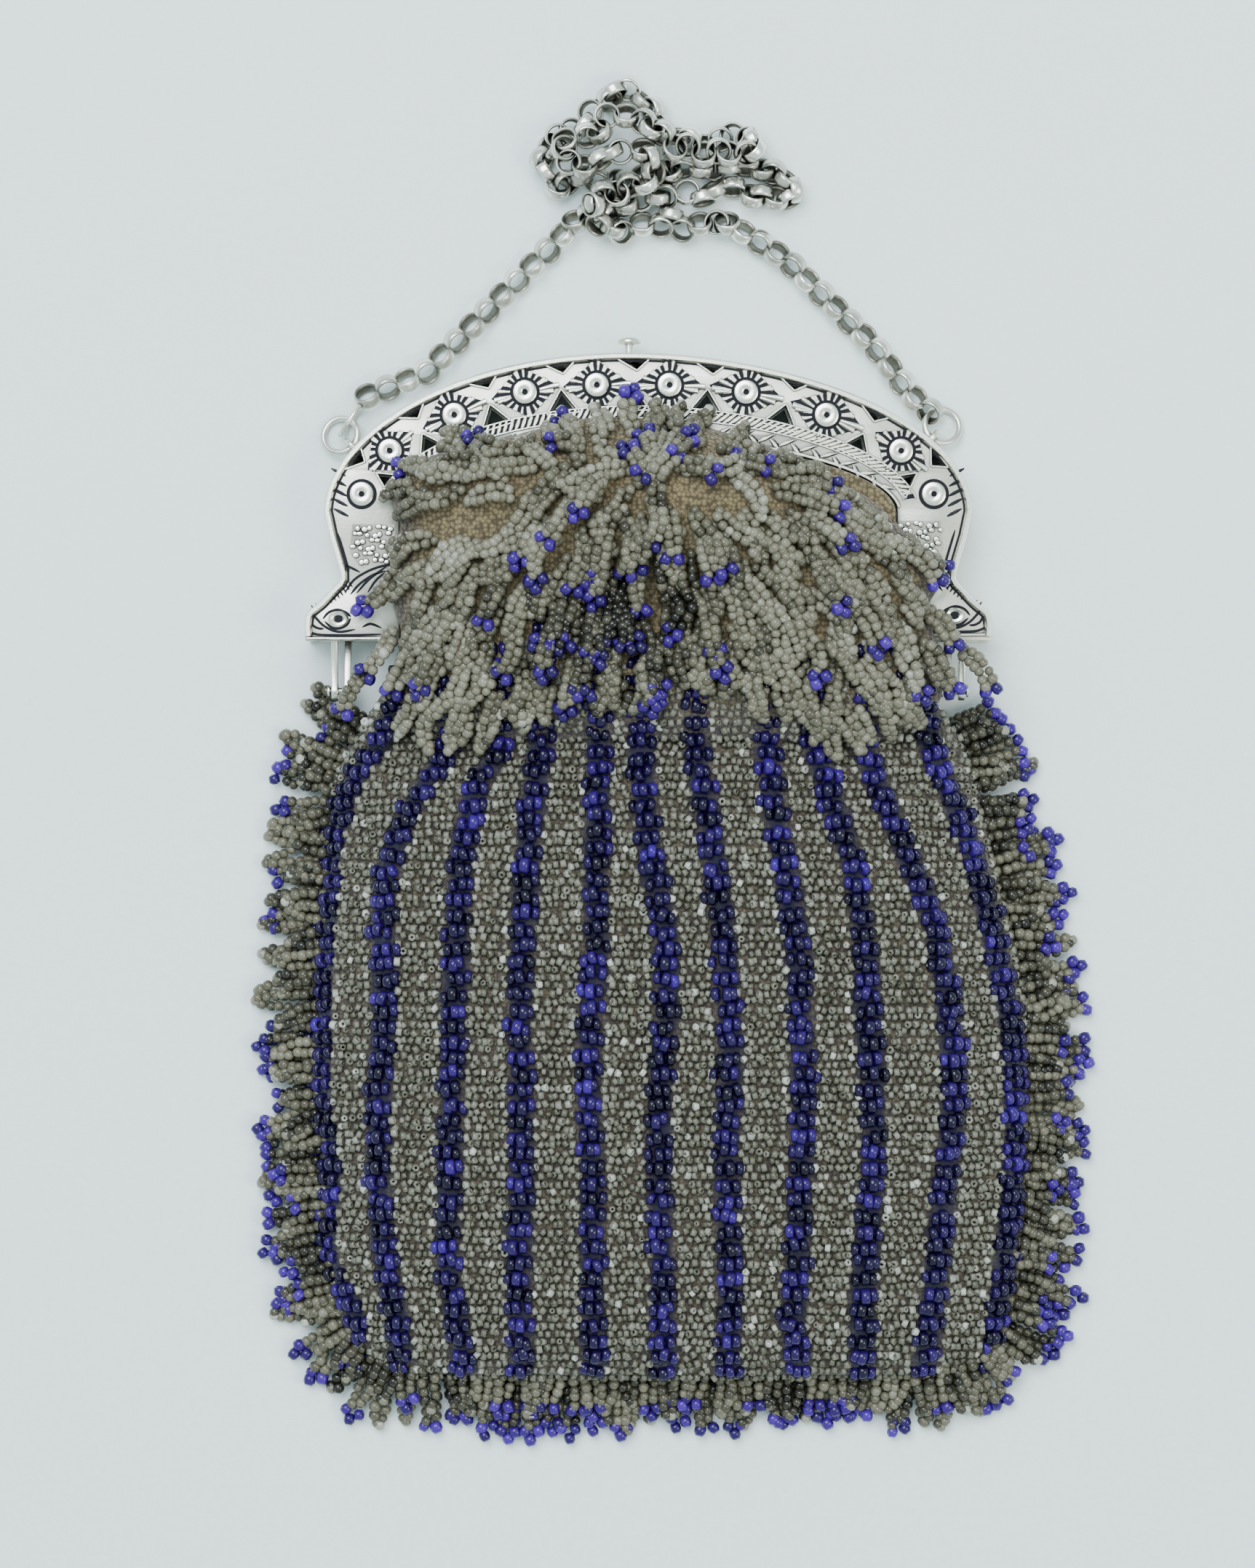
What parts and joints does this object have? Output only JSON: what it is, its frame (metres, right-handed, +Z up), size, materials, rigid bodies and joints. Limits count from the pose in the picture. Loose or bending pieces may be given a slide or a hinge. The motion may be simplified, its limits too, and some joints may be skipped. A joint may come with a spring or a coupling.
{
  "type": "beaded frame bag",
  "caption": "Small knitted bead handbag lying on its back: pierced arched metal frame with press clasp, chain handle heaped above, striped pouch with looped bead fringe.",
  "frame": {"origin": "middle of the footprint, on the surface that the bag lies on", "axes": "+Z up out of the bag's front, +Y towards the frame's clasp and the chain, +X to the right as the front is seen"},
  "size_m": [0.1242, 0.1984, 0.0223],
  "materials": {
    "oxidised_silver": "cast silver, bright on the high parts and dark in the grooves",
    "chain_silver": "bright silver links, darker inside",
    "beaded_knit": "beige thread knitted with clear glass beads and stripes of deep blue beads",
    "glass_beads": "clear glass beads with blue beads at the tips"
  },
  "bodies": {
    "bag": {"front_frame": "oxidised_silver", "back_frame": "oxidised_silver", "hinge_pin_left": "oxidised_silver", "hinge_pin_right": "oxidised_silver", "ring_left": "chain_silver", "ring_right": "chain_silver", "chain_left": "chain_silver", "chain_heap": "chain_silver", "chain_right": "chain_silver", "pouch": "beaded_knit", "edge_fringe": "glass_beads", "yoke_fringe": "glass_beads"},
    "button": {"clasp_button": "oxidised_silver"}
  },
  "joints": [
    {"name": "clasp_press", "type": "slide", "parent": "bag", "child": "button", "axis": [0, -1, 0], "range_m": [0, 0.001], "stiffness_N_per_m": 1500}
  ]
}
